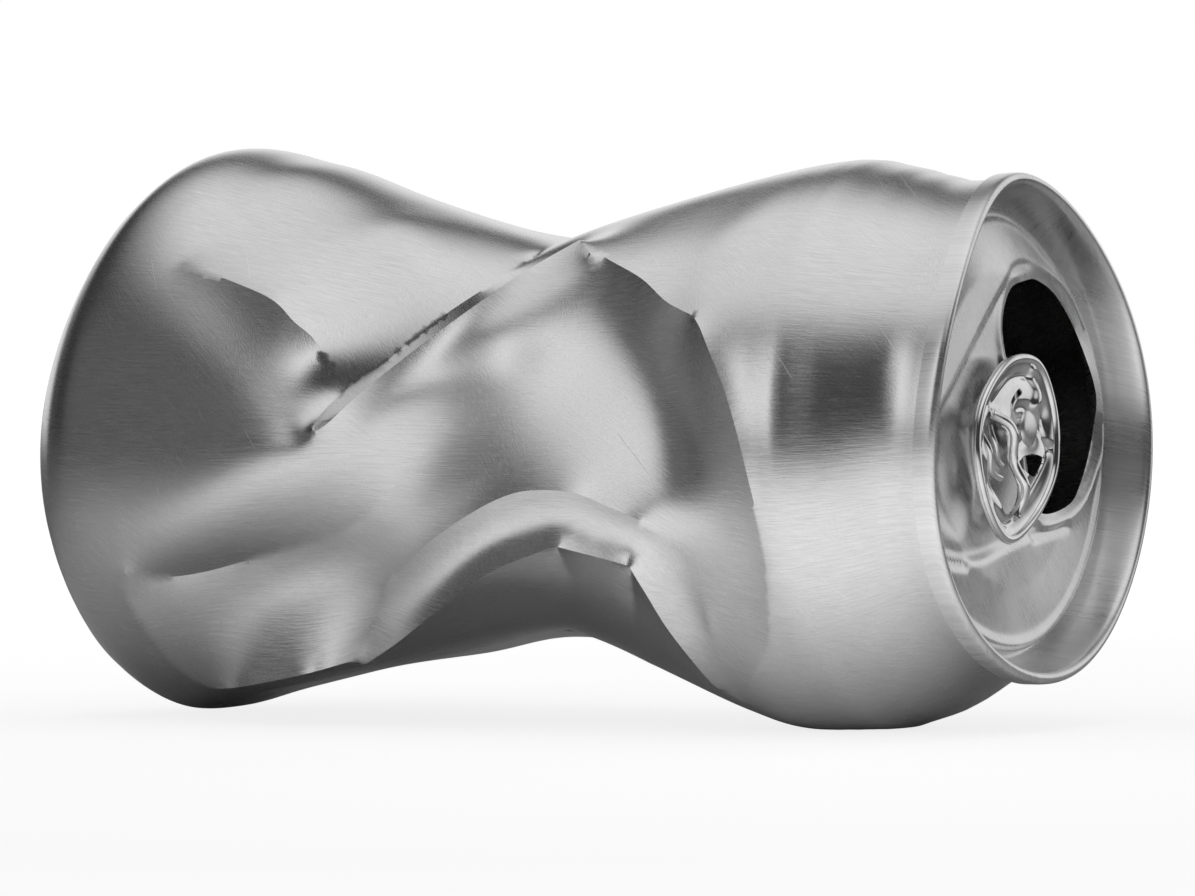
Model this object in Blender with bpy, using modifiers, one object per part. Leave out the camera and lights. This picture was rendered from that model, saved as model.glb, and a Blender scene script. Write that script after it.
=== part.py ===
"""Crushed 355 ml aluminium drink can, lying on its side.

Three pressings make the whole object: the drawn body with its domed base,
the can end double-seamed onto it, and the pull tab clinched to the end.
The body is turned as a new can first. It is then crushed: the two drums keep
their round form, and between them the sheet hangs between named folds.
All dimensions here are millimetres; SCALE brings them to metres.
"""
import math

import bpy
import bmesh
import numpy as np
from mathutils import Matrix, Vector

SCALE = 0.001

# ---- driving dimensions -------------------------------------------------
CAN_DIAMETER = 66.0
CAN_LENGTH = 122.2          # base plane to seam top, before crushing
BODY_SHEET = 0.30           # thicker than the real 0.1 sheet, so that it is a sound solid
END_SHEET = 0.30
SEAM_DIAMETER = 58.2
SEAM_HEIGHT = 2.6
PANEL_RADIUS = 25.2
PANEL_DEPTH = 4.6           # below the top of the seam
COUNTERSINK_DEPTH = 6.4
TAB_SHEET = 0.80            # the folded tab, curl to curl
TAB_TILT = 6.0
TAB_DEPTH = 2.9             # below the top of the seam
RELAX = 3                   # smoothing passes over the folds
SEGMENTS = 48               # round the can end
BODY_SEGMENTS = 64          # round the body

# ---- where the two ends of the bent can have come to lie ----------------
BASE_CENTRE, BASE_YAW, BASE_PITCH = (-60.4, 0.0, 33.7), -10.0, -3.7
END_CENTRE, END_YAW, END_PITCH = (60.2, 0.0, 35.5), 3.5, 2.1
BASE_OVAL = 0.05            # taller than wide at the base, round at mid-length
REST_CUT = 0.3              # depth of the two small flats that it lies on

# outer profile of the unhurt can: height above the base, radius
WALL = ((0.6, 25.2), (3, 27.6), (6, 30.4), (8.5, 32.3), (11, 33), (102, 33), (105, 32.45),
        (108.5, 31.5), (111.6, 30.3), (114.8, 28.9), (117, 28.5), (121.2, 28.5))
DOME = ((0.0, 24.2), (0.3, 23.2), (2.5, 22.3), (5.5, 19.5), (8.6, 13.5), (10.2, 6.5), (10.6, 0.0))

# broad swells of the two drums: angle, height, spreads of both, push
SWELLS = ((0, 13, 30, 8, -2.3), (172, 9, 18, 6, 1.2), (0, 107, 50, 9, 1.2), (180, 103, 50, 11, -1.1))

# Folds. Each point is angle round the can (0 up, 90 front, 180 down, 270 back),
# height above the base, and how far the sheet is pushed in from the round can.
# 'L' runs straight from point to point, 'S' in a smooth curve. They are set by
# hand, in whole degrees and half millimetres.
FOLDS = [
    # the pointed tongue of the base drum, and the flute along its upper edge
    ('tongue_top', 'L', ((46, 21, 0), (56, 24, 0), (66, 29, 0), (76, 36, 0), (85, 44, 0), (85, 46, 0.5))),
    ('tongue_low', 'L', ((85, 46, 0.5), (94, 36, 0), (103, 29, 0), (116, 18, 0))),
    ('corner', 'S', ((116, 18, 0), (130, 18, 0.5), (146, 20, 0))),
    ('flute', 'S', ((48, 23, 0.5), (57, 28, 2.5), (65, 33, 4), (73, 37, 4.5), (82, 42, 3.5), (85, 45, 1))),
    ('flute_top', 'S', ((46, 22, 0.5), (54, 35, 1), (60, 40, 2), (65, 43, 3.5), (72, 44, 5.5))),
    # the long ridge, and the valley tucked in behind it
    ('long_ridge', 'S', ((85, 46, 0.5), (77, 51, 1), (70, 56, 1.5), (59, 63, 2), (46, 70, 2), (40, 74, 2))),
    ('tuck', 'S', ((84, 46, 1), (75, 48, 5), (64, 50, 8), (44, 56, 9), (22, 60, 10))),
    ('tuck_left', 'S', ((20, 44, 3.5), (31, 48, 5.5), (44, 51, 8), (52, 51, 10.5))),
    # the trough below the tongue and the facets that meet under it
    ('trough', 'S', ((116, 18, 0), (118, 23, 1.5), (116, 31, 3), (112, 39, 3.5), (105, 46, 4), (97, 52, 4.5),
                     (84, 58, 4.5), (75, 65, 4), (71, 68, 3.5))),
    ('trough_low', 'S', ((146, 20, 0), (134, 27, 1.5), (126, 32, 2), (114, 44, 3), (105, 53, 4))),
    ('arch', 'S', ((145, 42, 4.5), (133, 45, 5), (121, 49, 5), (109, 56, 5), (101, 64, 5.5), (99, 72, 6),
                   (103, 79, 5.5), (110, 85, 5), (121, 89, 3.5), (136, 90, 2), (151, 89, 1), (158, 90, 0.5))),
    ('lower_crest', 'S', ((140, 44, 3.5), (126, 54, 3), (118, 64, 2.5), (111, 71, 2), (109, 76, 2), (115, 84, 2),
                          (130, 87, 1.5), (147, 88, 1), (158, 90, 0.5))),
    # the edge of the top drum
    ('drum_edge', 'L', ((40, 74, 2), (52, 85, 1), (64, 93, 0.5), (74, 96, 0), (90, 100, 0), (101, 102, 0),
                        (118, 101, 0), (132, 99, 0), (158, 90, 0.5))),
    ('drum_valley', 'S', ((47, 78, 4), (66, 85, 6.5), (84, 87, 7.5), (104, 88, 7.5), (118, 89, 5.5))),
    # underneath
    ('under_front', 'S', ((151, 25, 0), (150, 32, 2), (150, 38, 3.5), (150, 45, 4.5))),
    ('under_left', 'S', ((146, 20, 0), (158, 23, 2), (158, 29, 4), (158, 36, 5.5), (158, 43, 6.5))),
    ('under_valley', 'L', ((109, 76, 2), (121, 73, 5), (144, 67, 10), (172, 61, 12))),
    ('under_low', 'S', ((172, 11, 2.5), (172, 16, 4), (172, 24, 5.5), (172, 31, 7), (172, 38, 8))),
    ('under_mid', 'S', ((180, 9, 0.5), (180, 12, 3.5), (180, 20, 5.5), (180, 28, 7), (180, 42, 9), (180, 50, 10.5),
                        (180, 56, 12), (180, 60, 12), (180, 64, 11), (180, 70, 7.5), (180, 77, 4), (180, 83, 1),
                        (180, 89, 0))),
    ('under_back', 'S', ((190, 10, 0.5), (190, 12, 3.5), (190, 20, 5.5), (190, 28, 7), (190, 42, 9), (190, 52, 11))),
    ('under_far', 'S', ((205, 12, 0.5), (205, 20, 2.5), (205, 28, 4.5), (205, 35, 5.5), (205, 43, 6))),
    # the top, and two broad ridges with a valley between them at the back
    ('top_right', 'S', ((0, 70, 8), (0, 80, 5), (0, 90, 2.5), (0, 98, 1))),
    ('top_front', 'S', ((20, 66, 6.5), (22, 74, 4.5), (22, 84, 2.5), (20, 94, 1))),
    ('back_ridge_top', 'S', ((305, 24, 0), (316, 42, 1), (320, 60, 2), (314, 78, 1), (305, 90, 0))),
    ('back_valley', 'S', ((250, 36, 0), (262, 48, 4.5), (270, 62, 8), (277, 76, 4.5), (280, 97, 0))),
    ('back_ridge_low', 'S', ((225, 24, 0), (228, 42, 1), (230, 58, 2), (230, 76, 1), (230, 98, 0))),
]
# the dip along the top, as height and push, alike at three angles
TOP_DIP = ((24, -1), (28, 0), (34, 2), (43, 4.5), (52, 7), (60, 9))
for angle in (-12, 0, 12):
    FOLDS.append((f'top_dip_{angle}', 'S', tuple((angle, h, push) for h, push in TOP_DIP)))
# the valley tucked in behind the long ridge takes its sheet from above it
TUCK = {'tuck': (-7, 0)}

# limits of the crushed zone: angle, height where it starts, and where it ends
ZONE_START = ((0, 16), (30, 17), (46, 21), (57, 24), (67, 29), (76, 35), (85, 45), (94, 36), (102, 30), (111, 22),
              (116, 18), (130, 17), (147, 20), (165, 12), (180, 9), (200, 9), (215, 14), (225, 24), (250, 36),
              (275, 26), (300, 38), (325, 24), (345, 17))
ZONE_END = ((0, 100), (25, 98), (46, 95), (63, 92), (72, 95), (89, 100), (100, 102), (117, 101), (131, 99),
            (156, 90), (180, 90), (205, 92), (230, 98), (255, 88), (280, 97), (305, 86), (330, 97), (345, 100))


def end_frame(yaw, pitch):
    """Outward axis, sideways and upward directions of one end."""
    y, p = math.radians(yaw), math.radians(pitch)
    n = np.array([math.cos(y) * math.cos(p), math.sin(y) * math.cos(p), math.sin(p)])
    u = np.cross([0, 0, 1.0], n)
    u /= np.linalg.norm(u)
    return n, u, np.cross(n, u)


def centre_line(h):
    """Bent centre line: point, direction, sideways and upward at height h."""
    h = np.asarray(h, float)
    s = (h / CAN_LENGTH)[..., None]
    p0, p1 = np.array(BASE_CENTRE), np.array(END_CENTRE)
    length = np.linalg.norm(p1 - p0)
    m0 = end_frame(BASE_YAW, BASE_PITCH)[0] * length
    m1 = end_frame(END_YAW, END_PITCH)[0] * length
    c = (2*s**3 - 3*s**2 + 1)*p0 + (s**3 - 2*s**2 + s)*m0 + (3*s**2 - 2*s**3)*p1 + (s**3 - s**2)*m1
    d = (6*s*s - 6*s)*p0 + (3*s*s - 4*s + 1)*m0 + (6*s - 6*s*s)*p1 + (3*s*s - 2*s)*m1
    n = d / np.linalg.norm(d, axis=-1, keepdims=True)
    u = np.cross([0, 0, 1.0], n)
    u /= np.linalg.norm(u, axis=-1, keepdims=True)
    return c, n, u, np.cross(n, u)


def radius(angle, h):
    oval = BASE_OVAL * np.clip(1 - np.asarray(h, float) / 75.0, 0, 1)
    hs, rs = zip(*WALL)
    return np.interp(h, hs, rs) * (1 + oval * np.cos(2 * np.radians(angle)))


def rim_warp(angle, h):
    """The seam has been bent out of its plane by up to a millimetre or so."""
    t = np.radians(np.asarray(angle, float))
    k = np.clip((np.asarray(h, float) - 104) / 12, 0, 1) ** 2
    return k * (-0.5*np.cos(2*t) + 0.9*np.sin(2*t) - 0.5*np.cos(3*t) + 0.3*np.sin(3*t))


def swell(angle, h):
    total = 0 * (np.asarray(angle, float) + np.asarray(h, float))
    for a0, h0, da, dh, push in SWELLS:
        a = (np.asarray(angle, float) - a0 + 180) % 360 - 180
        total = total + push * np.exp(-0.5*(a/da)**2 - 0.5*((np.asarray(h, float) - h0)/dh)**2)
    return total * np.clip((117.5 - np.asarray(h, float)) / 7, 0, 1)


def place(angle, h, push, r=None):
    c, n, u, v = centre_line(h)
    a = np.radians(np.asarray(angle, float))[..., None]
    rho = (radius(angle, h) if r is None else r) - np.asarray(push, float)
    return (c + rho[..., None] * (np.cos(a)*v - np.sin(a)*u)
            + rim_warp(angle, h)[..., None] * n)


def along(points, kind, step=0.5):
    """Points spaced closely along one fold."""
    p = np.array(points, float)
    out = []
    for i in range(len(p) - 1):
        a, b, c, d = p[max(i-1, 0)], p[i], p[i+1], p[min(i+2, len(p)-1)]
        count = max(2, int(math.hypot((c[0]-b[0])*0.55, c[1]-b[1]) / step))
        for t in np.arange(count) / count:
            if kind == 'S':
                out.append(0.5*(2*b + (c-a)*t + (2*a-5*b+4*c-d)*t*t + (3*b-a-3*c+d)*t**3))
            else:
                out.append(b + (c-b)*t)
    out.append(p[-1])
    return np.array(out)


def limit(table, angle):
    a, h = zip(*table)
    a = (a[-1]-360,) + a + (a[0]+360,)
    return np.interp(np.asarray(angle) % 360, a, (h[-1],) + h + (h[0],))


def crush(rows):
    """Stretch the sheet over the folds. Gives a point for each row and segment."""
    count, seg = len(rows), BODY_SEGMENTS
    angles = np.arange(seg) * 360.0 / seg
    A, H = np.meshgrid(angles, rows)
    start = place(A, H, swell(A, H))
    keep = np.where((H < limit(ZONE_START, A)) | (H > limit(ZONE_END, A)), 50.0, 0.0)
    keep[0] = keep[-1] = 1e5
    dt = math.radians(360.0 / seg) * CAN_DIAMETER / 2
    dh = np.diff(rows)
    row_pull = np.concatenate([[dh[0]], (dh[1:]+dh[:-1])/2, [dh[-1]]]) / dt
    D = np.zeros((count, seg, seg))
    O = np.zeros((count-1, seg, seg))
    B = keep[..., None] * start
    j = np.arange(seg)
    k = (j + 1) % seg
    for i in range(count):
        np.add.at(D[i], (j, j), row_pull[i] + keep[i])
        np.add.at(D[i], (k, k), row_pull[i])
        np.add.at(D[i], (j, k), -row_pull[i])
        np.add.at(D[i], (k, j), -row_pull[i])
        if i < count-1:
            D[i][j, j] += dt / dh[i]
            D[i+1][j, j] += dt / dh[i]
            O[i][j, j] -= dt / dh[i]
    for name, kind, points in FOLDS:
        p = along(points, kind)
        target = place(p[:, 0], p[:, 1], p[:, 2])
        grown = np.clip(np.linspace(0, 1.6, len(p)), 0, 1)
        da, db = TUCK.get(name, (0, 0))
        u = ((p[:, 0] + da*grown) % 360) * seg / 360.0
        v = np.interp(p[:, 1] + db*grown, rows, np.arange(count))
        i0 = np.clip(np.floor(v).astype(int), 0, count-2)
        j0 = np.floor(u).astype(int)
        fi, fj = v - i0, u - j0
        ci = np.stack([i0, i0, i0+1, i0+1], 1)
        cj = np.stack([j0 % seg, (j0+1) % seg, j0 % seg, (j0+1) % seg], 1)
        cw = np.stack([(1-fi)*(1-fj), (1-fi)*fj, fi*(1-fj), fi*fj], 1)
        for a in range(4):
            np.add.at(B, (ci[:, a], cj[:, a]), 8.0*cw[:, a, None]*target)
            for b in range(4):
                pull = 8.0*cw[:, a]*cw[:, b]
                m = ci[:, a] == ci[:, b]
                np.add.at(D, (ci[m, a], cj[m, a], cj[m, b]), pull[m])
                m = ci[:, b] == ci[:, a] + 1
                np.add.at(O, (ci[m, a], cj[m, a], cj[m, b]), pull[m])
    inverse = np.zeros_like(D)
    S = D[0]
    for i in range(count):
        inverse[i] = np.linalg.inv(S)
        if i < count-1:
            S = D[i+1] - O[i].T @ inverse[i] @ O[i]
    for i in range(1, count):
        B[i] -= O[i-1].T @ (inverse[i-1] @ B[i-1])
    B[-1] = inverse[-1] @ B[-1]
    for i in range(count-2, -1, -1):
        B[i] = inverse[i] @ (B[i] - O[i] @ B[i+1])
    for _ in range(RELAX):                       # soften the creases by one sheet's bend
        mid = B.copy()
        mid[1:-1] = (B[2:] + B[:-2] + np.roll(B, 1, 1)[1:-1] + np.roll(B, -1, 1)[1:-1]) / 4
        B = np.where(keep[..., None] > 0, B, 0.6*B + 0.4*mid)
    return B


def new_object(name, mesh, collection, colour, roughness):
    obj = bpy.data.objects.new(name, mesh)
    collection.objects.link(obj)
    mat = bpy.data.materials.new(name)
    mat.use_nodes = True
    bsdf = mat.node_tree.nodes['Principled BSDF']
    bsdf.inputs['Base Color'].default_value = (*colour, 1)
    bsdf.inputs['Metallic'].default_value = 1.0
    bsdf.inputs['Roughness'].default_value = roughness
    obj.data.materials.clear()
    obj.data.materials.append(mat)
    return obj


def turned(name, profile, collection, segments):
    """Surface turned about Z from (height, radius) pairs, top to bottom on the outside."""
    mesh = bpy.data.meshes.new(name)
    verts = [(r*SCALE, 0, h*SCALE) for h, r in profile]
    mesh.from_pydata(verts, [(i, i+1) for i in range(len(verts)-1)], [])
    obj = bpy.data.objects.new(name, mesh)
    collection.objects.link(obj)
    screw = obj.modifiers.new('Turn', 'SCREW')
    screw.steps = screw.render_steps = segments
    screw.use_merge_vertices = True
    screw.merge_threshold = 0.00001
    bpy.context.view_layer.update()
    done = bpy.data.meshes.new_from_object(obj.evaluated_get(bpy.context.evaluated_depsgraph_get()))
    bpy.data.objects.remove(obj)
    return done


def thicken(obj, sheet, offset):
    mod = obj.modifiers.new('Sheet', 'SOLIDIFY')
    mod.thickness = sheet * SCALE
    mod.offset = offset
    mod.use_even_offset = False
    return mod


def shade(mesh, angle):
    mesh.shade_smooth()
    mesh.set_sharp_from_angle(angle=math.radians(angle))


# ---- a clean scene --------------------------------------------------------
for old in list(bpy.data.objects):
    bpy.data.objects.remove(old, do_unlink=True)
parts = bpy.data.collections.new('crushed_can')
tools = bpy.data.collections.new('cutters')
for col in (parts, tools):
    bpy.context.scene.collection.children.link(col)

# ---- body ---------------------------------------------------------------
wall_rows = [0.6, 3, 6, 8.5] + list(np.linspace(11, 102, 31)) + [105, 108.5, 111.6, 114.8, 117, 119.2, 121.2]
wall_h, wall_r = zip(*WALL)
profile = [(h, float(np.interp(h, wall_h, wall_r))) for h in reversed(wall_rows)] + list(DOME)
body_mesh = turned('can_body', profile, parts, BODY_SEGMENTS)
grid = crush(np.array(wall_rows))
base_n, base_u, base_v = end_frame(BASE_YAW, BASE_PITCH)
for vert in body_mesh.vertices:
    x, y, h = (c / SCALE for c in vert.co)
    r, angle = math.hypot(x, y), math.degrees(math.atan2(y, x)) % 360
    i = int(np.argmin(np.abs(np.array(wall_rows) - h)))
    on_wall = abs(wall_rows[i] - h) < 0.01 and r > 25.0
    if on_wall:
        vert.co = Vector(grid[i][int(round(angle * BODY_SEGMENTS / 360)) % BODY_SEGMENTS]) * SCALE
    else:
        t = math.radians(angle)
        oval = 1 + BASE_OVAL * math.cos(2*t)
        p = np.array(BASE_CENTRE) + h*base_n + r*oval*(math.cos(t)*base_v - math.sin(t)*base_u)
        vert.co = Vector(p) * SCALE
body = new_object('can_body', body_mesh, parts, (0.72, 0.72, 0.73), 0.32)

# ---- can end ------------------------------------------------------------
# End frame: X up across the panel, Y toward the front, Z outward, origin in
# the middle of the seam's top plane.
SEAM_R = SEAM_DIAMETER / 2
end_n, end_u, end_v = end_frame(END_YAW, END_PITCH)


def end_point(x, y, z):
    """From the end's own frame to the object's, with the bent rim."""
    r = math.hypot(x, y)
    angle = math.degrees(math.atan2(y, x))
    bend = float(rim_warp(angle, 120)) * min(max((r - 18) / 8, 0), 1)
    return Vector(np.array(END_CENTRE) + x*end_v - y*end_u + (z + bend)*end_n) * SCALE


def to_end(obj_or_mesh):
    mesh = getattr(obj_or_mesh, 'data', obj_or_mesh)
    for vert in mesh.vertices:
        vert.co = end_point(*(c / SCALE for c in vert.co))


def smooth_outline(points, steps=4):
    out = []
    n = len(points)
    for i in range(n):
        a, b, c, d = (np.array(points[(i+k) % n], float) for k in (-1, 0, 1, 2))
        for t in np.arange(steps) / steps:
            out.append(0.5*(2*b + (c-a)*t + (2*a-5*b+4*c-d)*t*t + (3*b-a-3*c+d)*t**3))
    return out


def slab(name, outline, z, half, collection):
    """Flat piece with a smooth outline, as a mesh."""
    curve = bpy.data.curves.new(name, 'CURVE')
    curve.dimensions = '2D'
    curve.fill_mode = 'BOTH'
    curve.extrude = half * SCALE
    spline = curve.splines.new('POLY')
    spline.points.add(len(outline) - 1)
    for point, (x, y) in zip(spline.points, outline):
        point.co = (x*SCALE, y*SCALE, 0, 1)
    spline.use_cyclic_u = True
    temp = bpy.data.objects.new(name, curve)
    collection.objects.link(temp)
    bpy.context.view_layer.update()
    mesh = bpy.data.meshes.new_from_object(temp.evaluated_get(bpy.context.evaluated_depsgraph_get()))
    bpy.data.objects.remove(temp)
    bm = bmesh.new()
    bm.from_mesh(mesh)
    bmesh.ops.remove_doubles(bm, verts=bm.verts, dist=0.000001)
    bmesh.ops.translate(bm, verts=bm.verts, vec=(0, 0, z*SCALE))
    bmesh.ops.recalc_face_normals(bm, faces=bm.faces)
    bm.to_mesh(mesh)
    bm.free()
    return mesh


def cylinder(name, x, y, z0, z1, r, steps, collection):
    bpy.ops.mesh.primitive_cylinder_add(vertices=steps, radius=r*SCALE, depth=(z1-z0)*SCALE,
                                        location=(x*SCALE, y*SCALE, (z0+z1)/2*SCALE))
    obj = bpy.context.object
    obj.name = name
    for col in list(obj.users_collection):
        col.objects.unlink(obj)
    collection.objects.link(obj)
    return obj


def boolean(obj, cutter, operation):
    mod = obj.modifiers.new(cutter.name, 'BOOLEAN')
    mod.operation = operation
    mod.solver = 'EXACT'
    mod.object = cutter
    cutter.hide_render = True
    cutter.display_type = 'WIRE'


def finish(obj):
    """Apply the stack, so the piece can be carried to its place."""
    bpy.context.view_layer.update()
    mesh = bpy.data.meshes.new_from_object(obj.evaluated_get(bpy.context.evaluated_depsgraph_get()))
    obj.modifiers.clear()
    obj.data = mesh


P = PANEL_DEPTH
end_profile = [(-P, 0.0), (-P, 4.2), (-P, 9.0), (-P, 15.0), (-P, 21.0), (-P, PANEL_RADIUS-0.5),
               (-P-0.35, PANEL_RADIUS), (-COUNTERSINK_DEPTH+0.5, PANEL_RADIUS+0.15),
               (-COUNTERSINK_DEPTH, PANEL_RADIUS+0.5), (-COUNTERSINK_DEPTH, SEAM_R-2.9),
               (-COUNTERSINK_DEPTH+0.5, SEAM_R-2.45), (-3.6, SEAM_R-1.9), (-0.7, SEAM_R-1.42),
               (-0.2, SEAM_R-1.15), (0, SEAM_R-0.65), (-0.15, SEAM_R-0.2), (-0.5, SEAM_R), (-SEAM_HEIGHT, SEAM_R)]
end_mesh = turned('can_end', end_profile, parts, SEGMENTS)
end = new_object('can_end', end_mesh, parts, (0.70, 0.70, 0.71), 0.28)
thicken(end, END_SHEET, -1.0)
MOUTH = ((17, -8), (16, -3.5), (12.5, -1), (8.5, -1.5), (4.5, -4), (-4, -6), (-8.5, -7), (-10, -11), (-8.5, -18),
         (-3, -22.5), (3, -24), (10, -21.5), (15, -17), (17, -12))
mouth = bpy.data.objects.new('mouth_cutter', slab('mouth_cutter', smooth_outline(MOUTH, 3), -P, 2.0, tools))
tools.objects.link(mouth)
boolean(end, mouth, 'DIFFERENCE')
rivet = bpy.data.objects.new('rivet', turned('rivet', [(-1.35, 0), (-1.4, 1.4), (-1.6, 2.2), (-1.75, 2.3), (-1.9, 2.1),
                                                     (-1.95, 1.3), (-P-0.15, 1.25), (-P-0.15, 0)], tools, 20))
tools.objects.link(rivet)
boolean(end, rivet, 'UNION')
# the torn panel, folded in under the end and still hinged beside the rivet
flap = cylinder('torn_panel', 0, 0, -0.15, 0.15, 1.0, 24, tools)
flap.data.transform(Matrix.Diagonal((7.5, 9.5, 1.0, 1)))
flap.data.transform(Matrix.Rotation(math.radians(80), 4, 'X'))
flap.data.transform(Matrix.Translation((-1.0*SCALE, -6.2*SCALE, (-P-9.5)*SCALE)))
boolean(end, flap, 'UNION')
finish(end)
to_end(end)

# ---- pull tab -----------------------------------------------------------
TAB = ((8.5, -1), (7, -5), (4, -7.5), (0, -8.5), (-5, -7.5), (-9, -3.5), (-12.5, 4), (-8.5, 8), (-4.5, 10),
       (0.5, 10), (4.5, 7), (7, 3.5))
tab = new_object('pull_tab', slab('pull_tab', smooth_outline(TAB, 3), 0, TAB_SHEET/2, parts), parts, (0.80, 0.80, 0.81), 0.12)
hole = cylinder('rivet_hole', 0, 0, -2, 2, 1.75, 20, tools)
slot = bpy.data.objects.new('finger_slot', slab('finger_slot', smooth_outline(
    ((0.5, 5), (-3.5, 5), (-9, 4.5), (-7.5, 6), (-3.5, 7), (0.5, 7)), 3), 0, 2.0, tools))
tools.objects.link(slot)
boolean(tab, hole, 'DIFFERENCE')
boolean(tab, slot, 'DIFFERENCE')
finish(tab)
tab.data.transform(Matrix.Rotation(math.radians(TAB_TILT), 4, 'X').inverted())
tab.data.transform(Matrix.Translation((0, 0, -TAB_DEPTH*SCALE)))
to_end(tab)

# ---- set the can down, then give the body its sheet -------------------------
every = np.array([vert.co[:] for obj in (body, end, tab) for vert in obj.data.vertices])
low, high = every.min(axis=0), every.max(axis=0)
shift = Vector((-(low[0]+high[0])/2, -(low[1]+high[1])/2, -low[2] - REST_CUT*SCALE))
for obj in (body, end, tab):
    for vert in obj.data.vertices:
        vert.co = vert.co + shift
for vert in body.data.vertices:
    vert.co.z = max(vert.co.z, 0.0)         # two small flats where it lies
thicken(body, BODY_SHEET, -1.0)
finish(body)
for obj in (body, end, tab):
    shade(obj.data, 35)
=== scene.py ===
"""Looks of the crushed drink can: the fine body sheet, the can end and its crumpled tab."""
import math

import bpy
import bmesh
import mathutils.geometry
import mathutils.kdtree
import numpy as np
from mathutils import Matrix, Vector


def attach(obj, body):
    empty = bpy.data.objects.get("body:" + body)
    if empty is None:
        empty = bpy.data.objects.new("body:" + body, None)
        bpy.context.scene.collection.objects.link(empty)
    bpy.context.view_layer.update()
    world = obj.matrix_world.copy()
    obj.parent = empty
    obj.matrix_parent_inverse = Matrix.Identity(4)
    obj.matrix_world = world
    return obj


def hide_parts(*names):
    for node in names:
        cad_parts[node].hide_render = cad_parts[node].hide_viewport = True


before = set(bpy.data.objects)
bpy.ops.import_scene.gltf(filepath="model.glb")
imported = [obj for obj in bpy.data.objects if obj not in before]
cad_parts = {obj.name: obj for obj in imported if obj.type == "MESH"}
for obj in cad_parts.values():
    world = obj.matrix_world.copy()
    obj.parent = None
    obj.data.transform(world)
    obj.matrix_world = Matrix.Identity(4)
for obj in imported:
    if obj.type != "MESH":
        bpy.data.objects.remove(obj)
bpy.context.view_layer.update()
for piece in bpy.context.selected_objects:
    piece.select_set(False)

MM = 0.001

# ---- the unhurt can, and where its two ends have come to lie (millimetres) ----
CAN_LENGTH = 122.2
CAN_DIAMETER = 66.0
BASE_CENTRE, BASE_YAW, BASE_PITCH = (-60.4, 0.0, 33.7), -10.0, -3.7
END_CENTRE, END_YAW, END_PITCH = (60.2, 0.0, 35.5), 3.5, 2.1
BASE_OVAL, OVAL_REACH = 0.05, 75.0
RIM_HEIGHT, RIM_BEND_START, RIM_BEND_RUN = 120.0, 104, 12
SET_DOWN = (0.986, 2.225, -0.801)
FLOOR_GAP = 0.02
COLUMNS = 224
FLAT_EDGE = -90.0
CREASED = 0.3                # folds at least this sharp become edges of the mesh
FOLD_STEP, CREASE_STEP = 0.4, 0.45
CLEAR = 0.4                  # plain points nearer to a crease than this are left out
FOLD_PULL, WALL_HOLD, END_HOLD = 60.0, 50.0, 1e5
GRID_ROUNDS, GRID_SHARE = 14, 0.2
RELAX_ROUNDS = 16
CRISP_REACH = 2              # grid steps round a sharp fold that are smoothed less
GIVE_LOW, GIVE_HIGH = (4, 6), (103, 3)   # the grid gives between these heights: start, and run-in
WELD, TURNED_WELD = 0.02, 0.0005         # points nearer than this are one point
BORDER_ROWS, BORDER_ANGLE = 3, 178.5
SMOOTH_LOW, SMOOTH_HIGH = 8, 101
SHADE_ANGLE, END_SHADE_ANGLE, TAB_SHADE_ANGLE = 32, 50, 60
BODY_SHEET, END_SHEET, TAB_SHEET = 0.25, 0.24, 0.22
# outlines as (height, radius) pairs, from the foot to the neck, and from the foot in to the middle
WALL = ((0.6, 25.2), (3, 27.6), (6, 30.4), (8.5, 32.3), (9.2, 32.7), (9.8, 32.5), (10.4, 32.95), (11, 33),
        (96, 33.2), (104, 32.6), (105, 32.3), (108.5, 31.5), (111.6, 30.3), (114.8, 28.9), (117, 28.5),
        (121.2, 28.5))
FOOT_ROWS = (0.6, 1.8, 3, 4.5, 6, 7.2, 8.5, 8.9, 9.2, 9.5, 9.8, 10.1, 10.4)
DRUM_ROWS, NECK_ROWS = (11, 102, 121), (102, 121.2, 21)
DOME = ((0.0, 24.2), (0.3, 23.2), (2.5, 22.3), (5.5, 19.5), (8.6, 13.5), (10.2, 6.5), (10.6, 0.0))
SWELL_END, SWELL_RUN = 117.5, 7
# gentle swells: angle, height, reach round, reach along, push in
SWELLS = ((0, 13, 30, 8, -2.3), (172, 9, 18, 6, 1.2), (0, 107, 50, 9, 1.2), (180, 103, 50, 11, -1.1))

# ---- the studio (metres, degrees, plain light levels) ----
# the floor that the metal sees glows with a painted pool of light round the can, painted darker behind it and
# towards its left as painted shadow
FLOOR_PAINTED_LIGHT, FLOOR_PAINTED_LIGHT_REACH, FLOOR_PAINTED_LIGHT_FADE, FLOOR_CENTRE = 0.66, 0.45, 1.2, (0.06, -0.08, 0.0)
FLOOR_SIZE, FLOOR_WHITENS = 12, (0.10, 0.45, 0.82, 1.0)
FLOOR_PAINTED_SHADOW_BEHIND, FLOOR_PAINTED_SHADE_LEFT, FLOOR_SLANT = (-0.01, -0.06), (-0.15, -0.02), (-0.3, 1.0, 0.0)
FLOOR_FOR_METAL, FLOOR_FOR_EYE = (0.66, 0.66, 0.66, 1), (0.33, 0.33, 0.33, 1)
BOX_HEIGHT, BOX_LEVEL, BOX_SIZE = 0.20, 0.72, (0.8, 0.6)
BOX_LEFT, BOX_RIGHT, BOX_FRONT, BOX_BACK = (-0.22, -0.08), (0.36, 0.22), (-0.23, -0.11), (0.13, 0.01)
FIELD = 0.05
STRIP_AZIMUTH, STRIP_DISTANCE, STRIP_LEVEL = -102, 0.6, 1.08
STRIP_SIZE = (0.4, 1.3)
STRIP_LEFT, STRIP_RIGHT, STRIP_LOW, STRIP_TOP = (-0.17, 0.0), (0.115, 0.085), (-0.02, 0.12), (0.6, 0.4)
BACKDROP, BACKDROP_EDGE = 122, (0.80, 0.97)
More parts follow.
